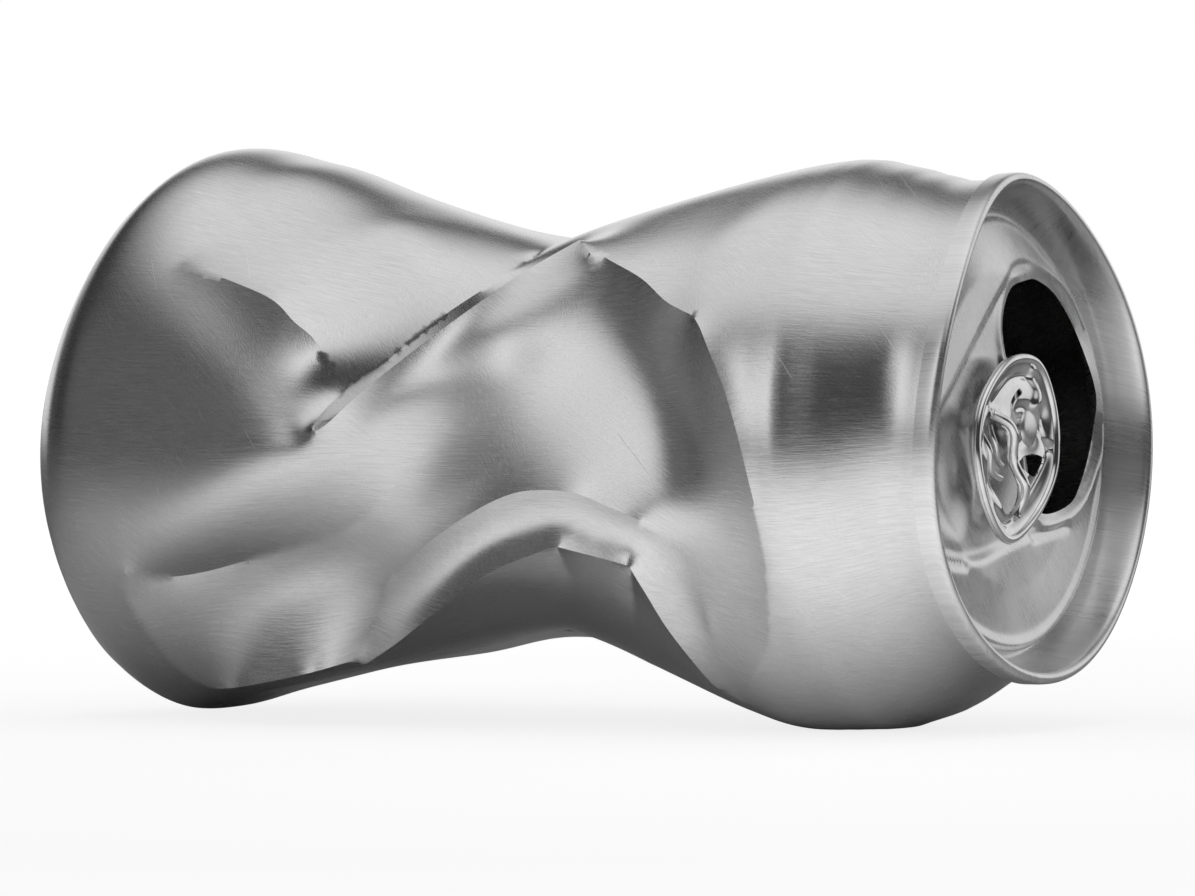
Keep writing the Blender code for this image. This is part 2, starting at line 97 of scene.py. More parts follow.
# far soft boxes: azimuth (0 is +X, -90 the front), elevation, full out to, ends at, level
SOFT_BOXES = ((66, 3, 20, 52, 0.85), (60, 60, 10, 60, 0.12), (-140, 15, 8, 32, 0.09))

# ---- the camera (degrees; target and distance in millimetres) ----
CAMERA_AZIMUTH, CAMERA_ELEVATION, CAMERA_ROLL = 32.01, 1.18, -0.509
CAMERA_TARGET, CAMERA_DISTANCE, CAMERA_LENS = (0.346, 0.0, 33.0), 800.0, 203.65

# Folds of the crush, set in whole degrees and half millimetres. A point is angle
# round the can (0 up, 90 front, 180 down), height above the base, push in from the round can,
# and, where the sheet is tucked in, the angle and height that it came from. Before the points
# stand the kind of line (straight or smooth) and the sharpness of the crease.
FOLDS = {
    # the pointed tongue of the base drum, and the flute along its upper edge
    'tongue_top': ('S', 0.0, ((47, 22, 0), (58, 25, 0), (66, 29, 0), (78, 37, 0), (84, 42, 0),
                              (85, 44, 0))),
    'tongue_low': ('S', 0.0, ((85, 44, 0), (94, 36, 0), (102, 29.5, 0), (115, 18.5, 0))),
    'tongue_under': ('S', 0.0, ((92, 43, 1), (99, 37, 1), (107, 30, 1), (116, 22, 1))),
    'corner': ('S', 0.5, ((116, 18, 0), (123, 17, 0), (138, 19, 0), (147, 21, 0))),
    'flute': ('S', 0.0, ((48, 22, 0), (55, 26, 0.5), (63, 31, 1), (72, 36, 1.5), (80, 41, 1.5),
                         (84, 44, 0.5))),
    'flute_top': ('S', 0.4, ((47, 22, 0), (49, 26, 0), (55, 36, 0.5), (60, 40, 1.5), (64, 43, 2.5),
                             (70, 44.5, 4))),
    # the long ridge, and the valley tucked in behind it
    'long_ridge': ('S', 0.7, ((85, 45.5, 0.5), (83, 47.5, 0.5), (77, 51, 1), (70, 55.5, 1.5), (58, 63, 2),
                              (45, 70, 2.5), (40, 74, 2))),
    'ridge_low': ('S', 0.0, ((81, 50, 0.5), (73, 56, 1.5), (62, 61, 2), (54, 66, 2.5), (46, 71, 2.5))),
    'tuck_edge': ('S', 0.5, ((84, 45, 1), (80, 45, 3), (74, 46, 5.5), (66, 49, 7.5), (52, 53, 9),
                             (36, 58, 9.5), (20, 61, 9.5))),
    'tuck': ('S', 0.9, ((84, 45, 1, 85, 45.5), (81, 45, 5, 82, 46), (75, 48, 9, 75, 48.5),
                        (67, 52, 12, 67, 52.5), (52, 58, 13, 53, 60), (34, 64, 12, 34, 67))),
    'tuck_left': ('S', 0.2, ((20, 43, 3.5), (31, 48, 5.5), (44, 51, 7.5))),
    # the trough under the tongue, and the facets that meet below it
    'trough': ('S', 0.6, ((116, 18, 0), (119, 22, 2.5), (119, 26, 4), (117, 31, 5), (112, 41, 6),
                          (108, 46, 6), (103, 50, 5.5), (96, 54, 5))),
    'trough_end': ('S', 0.0, ((96, 54, 5), (87, 58, 5), (77, 65, 4), (71, 68, 3.5))),
    'trough_top': ('S', 0.0, ((62, 62, 1.5), (63, 65, 2), (68, 68, 2.5), (71, 68, 3.5))),
    'trough_low': ('S', 0.2, ((147, 21, 0), (143, 22, 0.5), (138, 24, 1), (133, 27, 3), (128, 31, 4.5),
                              (123, 35, 6))),
    'trough_low_end': ('S', 0.0, ((123, 35, 6), (121, 39, 7), (118, 44, 7.5), (112, 51, 6))),
    'lower_edge': ('S', 0.5, ((147, 21, 0), (141, 29, -2), (139, 37, -1), (140, 42, 1.5))),
    # the arch, and the lip that hangs below it with its two corners
    'arch': ('S', 0.5, ((141, 43, 2), (136, 44.5, 4), (129, 47, 5), (122, 50, 5), (112, 56, 4.5),
                        (104, 63, 4.5), (100, 68, 4.5), (99, 72, 4.5), (100, 76.5, 4.5), (103, 80, 4.5),
                        (107, 84, 4.5), (112, 86.5, 5), (118, 88, 5), (126, 89.5, 4), (133, 89.5, 3),
                        (141, 89, 2), (149, 88.5, 1), (156, 89, 0.5))),
    'arch_inside': ('S', 0.0, ((130, 51, 5.5), (121, 55, 6), (113, 60, 6), (106, 66, 6), (103, 72, 6),
                               (105, 76, 6), (109, 81, 6), (116, 84.5, 6.5), (125, 85.5, 6.5),
                               (134, 86.5, 5.5), (142, 87, 4))),
    'lip': ('S', 0.6, ((142, 43.5, 2), (136, 49, 2.5), (126, 57, 3), (118, 64, 3.5), (114, 70, 4),
                       (112, 73, 4))),
    'lip_middle': ('S', 0.6, ((112, 73, 4), (115, 78, 4), (117, 82, 3.5))),
    'lip_right': ('S', 0.6, ((117, 82, 3.5), (125, 83, 3.5), (133, 84, 3), (141, 85.5, 2), (150, 87, 1),
                             (156, 89, 0.5))),
    'lip_hollow': ('S', 0.0, ((124, 57, 4.5), (116, 64, 5), (112, 69.5, 5.5), (110, 73, 5),
                              (113, 78.5, 5), (116, 83, 4.5), (124, 84.5, 4.5), (132, 85.5, 3.5),
                              (140, 86.5, 2.5))),
    # the edge of the top drum, and the pinched corner at its upper end
    'drum_edge_top': ('S', 0.6, ((40, 74, 2), (47, 79, 1.5), (54, 85, 1), (60, 89, 1), (64, 93, 0.5))),
    'drum_edge': ('S', 0.6, ((64, 93, 0.5), (69, 95, 0), (82, 98.5, 0), (97, 100.5, 0), (114, 101, 0),
                             (133, 98, 0), (145, 93, 0), (156, 89, 0.5))),
    'pinch_left': ('S', 0.0, ((41, 74, 2), (46, 75, 2), (51, 74, 2.5), (55, 72, 3), (58, 67, 2.5))),
    'pinch_bright': ('L', 0.4, ((41, 74.5, 2), (46, 77, 1.5), (49, 78, 2), (52, 80, 2.5))),
    'pinch_groove': ('S', 0.0, ((51, 79, 2.5), (54, 78, 3.5), (58, 77, 3.5))),
    'drum_valley': ('S', 0.0, ((52, 80, 3), (55, 81, 3.5), (61, 84, 4.5), (70, 87, 6), (79, 89, 7),
                               (91, 90, 7), (99, 92, 5))),
    # underneath
    'under_mid': ('S', 0.0, ((180, 9, 0.5), (180, 12, 3.5), (180, 20, 5.5), (180, 28, 7), (180, 42, 9),
                             (180, 50, 10.5), (180, 56, 12), (180, 60, 12), (180, 64, 11), (180, 70, 7.5),
                             (180, 77, 4), (180, 83, 1), (180, 89, 0))),
    'under_low': ('S', 0.0, ((172, 11, 2.5), (172, 16, 4), (172, 24, 5.5), (172, 31, 7), (172, 38, 8))),
    'under_left': ('L', 0.4, ((112, 73, 4.5), (121, 72, 6.5), (144, 67, 10), (172, 61, 12))),
    'under_right': ('L', 0.3, ((117, 82, 4), (127, 80, 5.5), (148, 76, 7), (172, 72, 7.5))),
    'under_front': ('S', 0.0, ((150, 42, 4.5), (144, 49, 6), (136, 56, 7), (128, 62, 7.5))),
    'under_back': ('S', 0.0, ((190, 10, 0.5), (190, 12, 3.5), (190, 20, 5.5), (190, 28, 7), (190, 42, 9),
                              (190, 52, 11))),
    'under_far': ('S', 0.0, ((205, 12, 0.5), (205, 20, 2.5), (205, 28, 4.5), (205, 35, 5.5),
                             (205, 43, 6))),
    # the top, and two broad ridges with a valley between them at the back
    'top_right': ('S', 0.0, ((0, 70, 8), (0, 80, 5), (0, 90, 2.5), (0, 98, 1))),
    'top_front': ('S', 0.0, ((20, 66, 6.5), (22, 74, 4.5), (22, 84, 2.5), (20, 94, 1))),
    'back_ridge_top': ('S', 0.1, ((305, 24, 0), (316, 42, 1), (320, 60, 2), (314, 78, 1), (305, 90, 0))),
    'back_valley': ('S', 0.1, ((250, 36, 0), (262, 48, 4.5), (270, 62, 8), (277, 76, 4.5), (280, 97, 0))),
    'back_ridge_low': ('S', 0.1, ((225, 24, 0), (228, 42, 1), (230, 58, 2), (230, 76, 1), (230, 98, 0))),
}
# the dip along the top, as height and push, alike at three angles
TOP_DIP = ((24, -1), (28, 0), (34, 2), (43, 4.5), (52, 7), (60, 9))
for angle in (-12, 0, 12):
    FOLDS[f'top_dip_{angle}'] = ('S', 0.0, tuple((angle, h, push) for h, push in TOP_DIP))
# limits of the crushed zone: angle, height where it starts, and where it ends
ZONE_START = ((0, 16), (30, 17), (46, 21), (57, 24), (67, 29), (76, 35), (85, 45), (94, 36), (102, 30),
              (111, 22), (116, 18), (130, 17), (147, 20), (165, 12), (180, 9), (200, 9), (215, 14),
              (225, 24), (250, 36), (275, 26), (300, 38), (325, 24), (345, 17))
ZONE_END = ((0, 100), (25, 98), (46, 95), (63, 92), (72, 95), (89, 100), (100, 102), (117, 101),
            (131, 99), (156, 90), (180, 90), (205, 92), (230, 98), (255, 88), (280, 97), (305, 86),
            (330, 97), (345, 100))


# ---- shape of the bent and crushed body ----
def end_directions(yaw, pitch):
    """The direction in which an end faces, and its sideways and upward directions."""
    y, p = math.radians(yaw), math.radians(pitch)
    n = np.array([math.cos(y) * math.cos(p), math.sin(y) * math.cos(p), math.sin(p)])
    u = np.cross([0, 0, 1.0], n)
    u /= np.linalg.norm(u)
    return n, u, np.cross(n, u)


def bent_axis(h):
    """The bent middle line at a height: its point, direction, sideways and upward."""
    h = np.asarray(h, float)
    s = (h / CAN_LENGTH)[..., None]
    p0, p1 = np.array(BASE_CENTRE), np.array(END_CENTRE)
    length = np.linalg.norm(p1 - p0)
    m0 = end_directions(BASE_YAW, BASE_PITCH)[0] * length
    m1 = end_directions(END_YAW, END_PITCH)[0] * length
    c = (2*s**3 - 3*s**2 + 1)*p0 + (s**3 - 2*s**2 + s)*m0 + (3*s**2 - 2*s**3)*p1 + (s**3 - s**2)*m1
    d = (6*s*s - 6*s)*p0 + (3*s*s - 4*s + 1)*m0 + (6*s - 6*s*s)*p1 + (3*s*s - 2*s)*m1
    n = d / np.linalg.norm(d, axis=-1, keepdims=True)
    u = np.cross([0, 0, 1.0], n)
    u /= np.linalg.norm(u, axis=-1, keepdims=True)
    return c, n, u, np.cross(n, u)


def drum_radius(angle, h):
    """Radius of the unhurt wall, a little oval towards the base."""
    oval = BASE_OVAL * np.clip(1 - np.asarray(h, float) / OVAL_REACH, 0, 1)
    hs, rs = zip(*WALL)
    return np.interp(h, hs, rs) * (1 + oval * np.cos(2 * np.radians(angle)))


def rim_bend(angle, h):
    """How far the bent rim stands out along the can."""
    t = np.radians(np.asarray(angle, float))
    k = np.clip((np.asarray(h, float) - RIM_BEND_START) / RIM_BEND_RUN, 0, 1) ** 2
    return k * (-0.5*np.cos(2*t) + 0.9*np.sin(2*t) - 0.5*np.cos(3*t) + 0.3*np.sin(3*t))


def swell(angle, h):
    """Gentle unevenness of the wall as a push in, none at the seam."""
    total = 0 * (np.asarray(angle, float) + np.asarray(h, float))
    for a0, h0, da, dh, push in SWELLS:
        a = (np.asarray(angle, float) - a0 + 180) % 360 - 180
        total = total + push * np.exp(-0.5*(a/da)**2 - 0.5*((np.asarray(h, float) - h0)/dh)**2)
    return total * np.clip((SWELL_END - np.asarray(h, float)) / SWELL_RUN, 0, 1)


def on_can(angle, h, push):
    """A point pushed in from the unhurt can."""
    c, n, u, v = bent_axis(h)
    a = np.radians(np.asarray(angle, float))[..., None]
    rho = drum_radius(angle, h) - np.asarray(push, float)
    return (c + rho[..., None] * (np.cos(a)*v - np.sin(a)*u)
            + rim_bend(angle, h)[..., None] * n)


def fold_line(points, kind, step=FOLD_STEP):
    """Close points along a fold: place on the can, push, and the place on the sheet they come from."""
    p = np.array([(*q, q[0], q[1]) if len(q) == 3 else q for q in points], float)
    out = []
    for i in range(len(p) - 1):
        a, b, c, d = p[max(i-1, 0)], p[i], p[i+1], p[min(i+2, len(p)-1)]
        count = max(2, int(math.hypot((c[0]-b[0])*0.55, c[1]-b[1]) / step))
        for t in np.arange(count) / count:
            if kind == 'S':
                out.append(0.5*(2*b + (c-a)*t + (2*a-5*b+4*c-d)*t*t + (3*b-a-3*c+d)*t**3))
            else:
                out.append(b + (c-b)*t)
    out.append(p[-1])
    return np.array(out)


def round_limit(table, angle):
    """A limit that runs round the can, at any angle."""
    a, h = zip(*table)
    a = (a[-1]-360,) + a + (a[0]+360,)
    return np.interp(np.asarray(angle) % 360, a, (h[-1],) + h + (h[0],))


def crushed_sheet(rows):
    """Hangs the sheet over the folds: one point for each row and column of the wall."""
    count, seg = len(rows), COLUMNS
    A, H = np.meshgrid(np.arange(seg) * 360.0 / seg, rows)
    start = on_can(A, H, swell(A, H))
    keep = np.where((H < round_limit(ZONE_START, A)) | (H > round_limit(ZONE_END, A)), WALL_HOLD, 0.0)
    keep[0] = keep[-1] = END_HOLD
    dt = math.radians(360.0 / seg) * CAN_DIAMETER / 2
    dh = np.diff(rows)
    pull_round = np.concatenate([[dh[0]], (dh[1:]+dh[:-1])/2, [dh[-1]]]) / dt
    D = np.zeros((count, seg, seg))
    O = np.zeros((count-1, seg, seg))
    B = keep[..., None] * start
    crisp = np.zeros((count, seg))
    j = np.arange(seg)
    k = (j + 1) % seg
    for i in range(count):
        np.add.at(D[i], (j, j), pull_round[i] + keep[i])
        np.add.at(D[i], (k, k), pull_round[i])
        np.add.at(D[i], (j, k), -pull_round[i])
        np.add.at(D[i], (k, j), -pull_round[i])
        if i < count-1:
            D[i][j, j] += dt / dh[i]
            D[i+1][j, j] += dt / dh[i]
            O[i][j, j] -= dt / dh[i]
    for kind, sharp, points in FOLDS.values():
        p = fold_line(points, kind)
        target = on_can(p[:, 0], p[:, 1], p[:, 2])
        ta, th = p[:, 3], p[:, 4]
        u = (ta % 360) * seg / 360.0
        v = np.interp(th, rows, np.arange(count))
        i0 = np.clip(np.floor(v).astype(int), 0, count-2)
        j0 = np.floor(u).astype(int)
        fi, fj = v - i0, u - j0
        ci = np.stack([i0, i0, i0+1, i0+1], 1)
        cj = np.stack([j0 % seg, (j0+1) % seg, j0 % seg, (j0+1) % seg], 1)
        cw = np.stack([(1-fi)*(1-fj), (1-fi)*fj, fi*(1-fj), fi*fj], 1)
        for a in range(4):
            np.add.at(B, (ci[:, a], cj[:, a]), FOLD_PULL*cw[:, a, None]*target)
            for b in range(4):
                pull = FOLD_PULL*cw[:, a]*cw[:, b]
                m = ci[:, a] == ci[:, b]
                np.add.at(D, (ci[m, a], cj[m, a], cj[m, b]), pull[m])
                m = ci[:, b] == ci[:, a] + 1
                np.add.at(O, (ci[m, a], cj[m, a], cj[m, b]), pull[m])
        if sharp:
            for di in range(-CRISP_REACH, CRISP_REACH + 1):
                for dj in range(-CRISP_REACH, CRISP_REACH + 1):
                    w = sharp * math.exp(-(di*di + dj*dj) / 2.0)
                    np.maximum.at(crisp, (np.clip(i0+di, 0, count-1), (j0+dj) % seg), w)
    inverse = np.zeros_like(D)
    S = D[0]
    for i in range(count):
        inverse[i] = np.linalg.inv(S)
        if i < count-1:
            S = D[i+1] - O[i].T @ inverse[i] @ O[i]
    for i in range(1, count):
        B[i] -= O[i-1].T @ (inverse[i-1] @ B[i-1])
    B[-1] = inverse[-1] @ B[-1]
    for i in range(count-2, -1, -1):
        B[i] = inverse[i] @ (B[i] - O[i] @ B[i+1])
    low = (H - GIVE_LOW[0]) / GIVE_LOW[1]
    high = (GIVE_HIGH[0] - H) / GIVE_HIGH[1]
    give = np.clip(np.minimum(low, high), 0, 1) * (1 - crisp)
    for _ in range(GRID_ROUNDS):
        mid = np.roll(B, 1, 1) + np.roll(B, -1, 1) - 2*B
        mid[1:-1] += B[2:] + B[:-2] - 2*B[1:-1]
        mid[0] = mid[-1] = 0
        B = B + GRID_SHARE * give[..., None] * mid
    return B


def creased_wall(grid, rows):
    """The hung points as triangles whose edges run along every sharp fold."""
    per_degree = math.pi * CAN_DIAMETER / 360
    step = 360.0 / COLUMNS
    turns = np.arange(COLUMNS + 1) * step + FLAT_EDGE
    flat = [(a * per_degree, h) for h in rows for a in turns]
    at_column = np.round(turns / step).astype(int) % COLUMNS
    places = [grid[i, j] for i in range(len(rows)) for j in at_column]
    keep = np.ones(len(flat), bool)
    lines, targets, edges = [], [], []
    for kind, sharp, points in FOLDS.values():
        if sharp < CREASED:
            continue
        p = fold_line(points, kind, CREASE_STEP)
        target = on_can(p[:, 0], p[:, 1], p[:, 2])
        angle = (p[:, 3] - FLAT_EDGE) % 360 + FLAT_EDGE
        start = len(lines)
        lines += list(zip(angle * per_degree, p[:, 4]))
        targets += list(target)
        edges += [(i, i+1) for i in range(start, len(lines)-1)]
    tree = mathutils.kdtree.KDTree(len(lines))
    for i, (x, y) in enumerate(lines):
        tree.insert((x, y, 0), i)
    tree.balance()
    for i, (x, y) in enumerate(flat):
        row, column = divmod(i, COLUMNS + 1)
        border = row < BORDER_ROWS or row >= len(rows) - BORDER_ROWS or column in (0, COLUMNS)
        if not border and tree.find((x, y, 0))[2] < CLEAR:
            keep[i] = False
    kept = np.nonzero(keep)[0]
    points = [Vector(flat[i]) for i in kept] + [Vector(q) for q in lines]
    shift = len(kept)
    verts, _, faces, came_from, _, _ = mathutils.geometry.delaunay_2d_cdt(
        points, [(a+shift, b+shift) for a, b in edges], [], 0, WELD)
    out = []
    for v, made in zip(verts, came_from):
        from_lines = [i-shift for i in made if i >= shift]
        if from_lines:
            out.append(np.mean([targets[i] for i in from_lines], axis=0))
        elif made:
            out.append(places[kept[made[0]]])
        else:
            painted_light_pool = tree.find((v.x, v.y, 0))[1]
            out.append(targets[painted_light_pool])
    out, flat = np.array(out), np.array([(v.x / per_degree, v.y) for v in verts])
    free = np.array([not any(i >= shift for i in made) for made in came_from])
    free &= (flat[:, 1] > SMOOTH_LOW) & (flat[:, 1] < SMOOTH_HIGH)
    free &= np.abs(flat[:, 0] - FLAT_EDGE - 180) < BORDER_ANGLE
    tri = np.array([tuple(f) for f in faces])
    a, b = np.concatenate([tri[:, [0, 1]], tri[:, [1, 2]], tri[:, [2, 0]]]).T
    count = np.bincount(a, minlength=len(out)) + np.bincount(b, minlength=len(out))
    for _ in range(RELAX_ROUNDS):
        total = np.stack([np.bincount(a, out[b, k], len(out)) + np.bincount(b, out[a, k], len(out))
                          for k in range(3)], 1)
        out = np.where(free[:, None], 0.5*out + 0.5*total/count[:, None], out)
    return out, flat, [tuple(f) for f in faces]


# ---- small helpers for modelling ----
def edit(obj):
    for other in bpy.context.selected_objects:
        other.select_set(False)
    bpy.context.view_layer.objects.active = obj
    obj.select_set(True)
    bpy.ops.object.mode_set(mode='EDIT')
    bpy.ops.mesh.select_all(action='SELECT')


def leave():
    bpy.ops.object.mode_set(mode='OBJECT')


def turned(name, profile, steps):
    """A profile of (height, radius) pairs spun about the Z axis. Units are millimetres."""
    mesh = bpy.data.meshes.new(name)
    mesh.from_pydata([(r, 0, h) for h, r in profile], [(i, i+1) for i in range(len(profile)-1)], [])
    obj = bpy.data.objects.new(name, mesh)
    bpy.context.scene.collection.objects.link(obj)
    edit(obj)
    bpy.ops.mesh.spin(steps=steps, angle=2*math.pi, center=(0, 0, 0), axis=(0, 0, 1))
    bpy.ops.mesh.select_all(action='SELECT')
    bpy.ops.mesh.remove_doubles(threshold=TURNED_WELD)
    leave()
    return obj


def points_of(obj):
    co = np.empty(len(obj.data.vertices) * 3)
    obj.data.vertices.foreach_get('co', co)
    return co.reshape(-1, 3)


def set_points(obj, co):
    obj.data.vertices.foreach_set('co', np.asarray(co, float).reshape(-1))
    obj.data.update()


def outward(obj):
    edit(obj)
    bpy.ops.mesh.normals_make_consistent(inside=False)
    leave()


def apply_all(obj):
    bpy.context.view_layer.objects.active = obj
    for mod in list(obj.modifiers):
        bpy.ops.object.modifier_apply(modifier=mod.name)


def smooth_shading(obj, angle):
    for other in bpy.context.selected_objects:
        other.select_set(False)
    bpy.context.view_layer.objects.active = obj
    obj.select_set(True)
    bpy.ops.object.shade_smooth_by_angle(angle=math.radians(angle))


def sheet(obj, thickness, inner_slot=0):
    """Gives an open surface its thickness, inwards."""
    mod = obj.modifiers.new('sheet', 'SOLIDIFY')
    mod.thickness = thickness
    mod.offset = -1.0
    mod.material_offset = inner_slot
    mod.material_offset_rim = 0
    apply_all(obj)


def rolled_bead(name, points, radius, closed=False):
    """A rolled edge: a round bead along a line of points, in millimetres."""
    curve = bpy.data.curves.new(name, 'CURVE')
    curve.dimensions = '3D'
    curve.bevel_depth = radius
    curve.bevel_resolution = 3
    curve.use_fill_caps = True
    spline = curve.splines.new('POLY')
    spline.points.add(len(points) - 1)
    for point, co in zip(spline.points, points):
        point.co = (*co, 1)
    spline.use_cyclic_u = closed
    temp = bpy.data.objects.new(name, curve)
    bpy.context.scene.collection.objects.link(temp)
    for other in bpy.context.selected_objects:
        other.select_set(False)
    bpy.context.view_layer.objects.active = temp
    temp.select_set(True)
    bpy.ops.object.convert(target='MESH')
    return bpy.context.object


def join(pieces, name):
    for other in bpy.context.selected_objects:
        other.select_set(False)
    for piece in pieces:
        piece.select_set(True)
    bpy.context.view_layer.objects.active = pieces[0]
    bpy.ops.object.join()
    pieces[0].name = name
    return pieces[0]


def rounded(points, steps=6, closed=True):
    """A smooth line through a few corner points."""
    p = [np.array(q, float) for q in points]
    n = len(p)
    out = []
    for i in range(n if closed else n-1):
        if closed:
            a, b, c, d = (p[(i+k) % n] for k in (-1, 0, 1, 2))
        else:
            a, b, c, d = p[max(i-1, 0)], p[i], p[i+1], p[min(i+2, n-1)]
        for t in np.arange(steps) / steps:
            out.append(0.5*(2*b + (c-a)*t + (2*a-5*b+4*c-d)*t*t + (3*b-a-3*c+d)*t**3))
    if not closed:
        out.append(p[-1])
    return np.array(out)


def from_line(xy, line, closed=True):
    """Distance of points to a line, negative inside a closed one."""
    a = line if closed else line[:-1]
    b = np.roll(line, -1, 0) if closed else line[1:]
    best = np.full(len(xy), 1e9)
    inside = np.zeros(len(xy), bool)
    for p, q in zip(a, b):
        d = q - p
        t = np.clip(((xy - p) @ d) / (d @ d + 1e-12), 0, 1)
        best = np.minimum(best, np.linalg.norm(xy - p - t[:, None]*d, axis=1))
        if closed:
            with np.errstate(divide='ignore', invalid='ignore'):
                spans = (p[1] > xy[:, 1]) != (q[1] > xy[:, 1])
                cross = spans & (xy[:, 0] < d[0]*(xy[:, 1]-p[1])/(d[1]+1e-15) + p[0])
            inside ^= cross
    return np.where(inside, -best, best)


def step_down(dist, width):
    """1 well inside an outline, 0 well outside, with a soft wall of the given width."""
    t = np.clip(0.5 - dist / width, 0, 1)
    return t*t*(3 - 2*t)


def ridge(dist, width):
    """1 on a line, falling softly to 0 on both sides."""
    return np.exp(-(dist / width) ** 2)


def cut_out(obj, line, keep_inside=False):
    """Cuts a clean-edged hole in an open sheet that lies across XY."""
    co = points_of(obj)
    dist = from_line(co[:, :2], line)
    if keep_inside:
        dist = -dist
    bm = bmesh.new()
    bm.from_mesh(obj.data)
    bm.verts.ensure_lookup_table()
    gone = [f for f in bm.faces if sum(dist[v.index] for v in f.verts) < 0]
    edge = set()
    for f in gone:
        for v in f.verts:
            edge.add(v)
    bmesh.ops.delete(bm, geom=gone, context='FACES')
    closed = np.vstack([line, line[:1]])
    for v in [v for v in edge if v.is_valid and v.link_faces]:
        p = np.array(v.co[:2])
        a, b = closed[:-1], closed[1:]
        d = b - a
        t = np.clip(np.sum((p - a)*d, 1) / np.sum(d*d, 1), 0, 1)
        q = a + t[:, None]*d
        best = q[np.argmin(np.linalg.norm(q - p, axis=1))]
        v.co.x, v.co.y = best
    bm.to_mesh(obj.data)
    bm.free()


def lay_flat(mesh, places):
    """Keeps where each corner lies on the flat sheet, in millimetres, for the brushing."""
    layer = mesh.uv_layers.new(name='sheet')
    corner = np.empty(len(mesh.loops), int)
    mesh.loops.foreach_get('vertex_index', corner)
    layer.data.foreach_set('uv', np.asarray(places)[corner].reshape(-1))


# ---- body ----
rows = np.concatenate([FOOT_ROWS, np.linspace(*DRUM_ROWS), np.linspace(*NECK_ROWS)[1:]])
wall, turns, faces = creased_wall(crushed_sheet(rows), rows)
mesh = bpy.data.meshes.new('can_wall')
mesh.from_pydata(wall, [], faces)
wall_sheet = bpy.data.objects.new('can_wall', mesh)
bpy.context.scene.collection.objects.link(wall_sheet)
lay_flat(mesh, turns * (math.pi * CAN_DIAMETER / 360, 1))

dome_line = rounded([(r, h) for h, r in DOME], 6, closed=False)[:, ::-1]
foot = (rows[0], float(np.interp(rows[0], *zip(*WALL))))
dome_sheet = turned('can_dome', [foot] + [tuple(q) for q in dome_line], COLUMNS)
co = points_of(dome_sheet)
r, t = np.hypot(co[:, 0], co[:, 1]), np.arctan2(co[:, 1], co[:, 0])
lay_flat(dome_sheet.data, co[:, :2])
bn, bu, bv = end_directions(BASE_YAW, BASE_PITCH)
oval = 1 + BASE_OVAL * np.cos(2*t)
across = np.cos(t)[:, None]*bv - np.sin(t)[:, None]*bu
set_points(dome_sheet, np.array(BASE_CENTRE) + co[:, 2:3]*bn + (r*oval)[:, None]*across)
body = join([wall_sheet, dome_sheet], 'can_sheet')
edit(body)
bpy.ops.mesh.remove_doubles(threshold=WELD)
leave()
placed = points_of(body) + np.array(SET_DOWN)
placed[:, 2] = np.maximum(placed[:, 2], FLOOR_GAP)
set_points(body, placed)
outward(body)
sheet(body, BODY_SHEET, inner_slot=1)

# ---- can end: seam, chuck wall, countersink and pressed panel ----
# The end's own frame: X up, Y to the front, Z outward, zero at the seam's top.
SEAM_R = 29.1
PANEL, PANEL_EDGE, PANEL_RINGS = 4.6, 25.0, 63
END_STEPS, SMALL_STEPS = 256, 48
FLAP_HALF, FLAP_DEEP, FLAP_TILT, FLAP_PLACE = 7.5, 9.5, 80, (-1.0, -6.2)
RIM_FREE, RIM_RUN = 18, 8
MOUTH = rounded(((17, -8), (16, -3.5), (12.5, -1), (8.5, -1.5), (4.5, -4), (-4, -6), (-8.5, -7),
                 (-10, -11), (-8.5, -18), (-3, -22.5), (3, -24), (10, -21.5), (15, -17), (17, -12)), 10)
RECESS = rounded(((1, 18.5), (5.5, 13), (11.5, 5.5), (16, -0.5), (18.5, -4), (19, -9), (17.5, -15),
                  (12.5, -21), (6, -24.5), (-2, -24), (-7.5, -20), (-11, -12), (-13, 0), (-14.5, 10),
                  (-13, 18), (-9, 20.5), (-4, 20.5)), 8)
PRESS_MARKS = (((-12.5, -6), (-11.5, -15)), ((-13, 18.5), (-14.5, 15.5), (-15, 12)))
rim = [(-2.6, SEAM_R), (-1.2, SEAM_R+0.05), (-0.5, SEAM_R), (-0.15, SEAM_R-0.2), (0, SEAM_R-0.62),
       (-0.12, SEAM_R-1.0), (-0.5, SEAM_R-1.3), (-1.2, SEAM_R-1.5), (-2.4, SEAM_R-1.75),
       (-3.6, SEAM_R-2.0), (-4.8, SEAM_R-2.25), (-5.8, SEAM_R-2.5), (-6.3, SEAM_R-2.85),
       (-6.4, SEAM_R-3.1), (-6.3, SEAM_R-3.4), (-5.8, SEAM_R-3.6), (-5.0, SEAM_R-3.75),
       (-4.7, SEAM_R-3.9)]
rim = [tuple(q) for q in rounded(rim, 3, closed=False)]
panel_rows = [(-PANEL, q) for q in np.linspace(PANEL_EDGE, 0.0, PANEL_RINGS)]
end = turned('can_end_sheet', rim + panel_rows, END_STEPS)
cut_out(end, MOUTH)


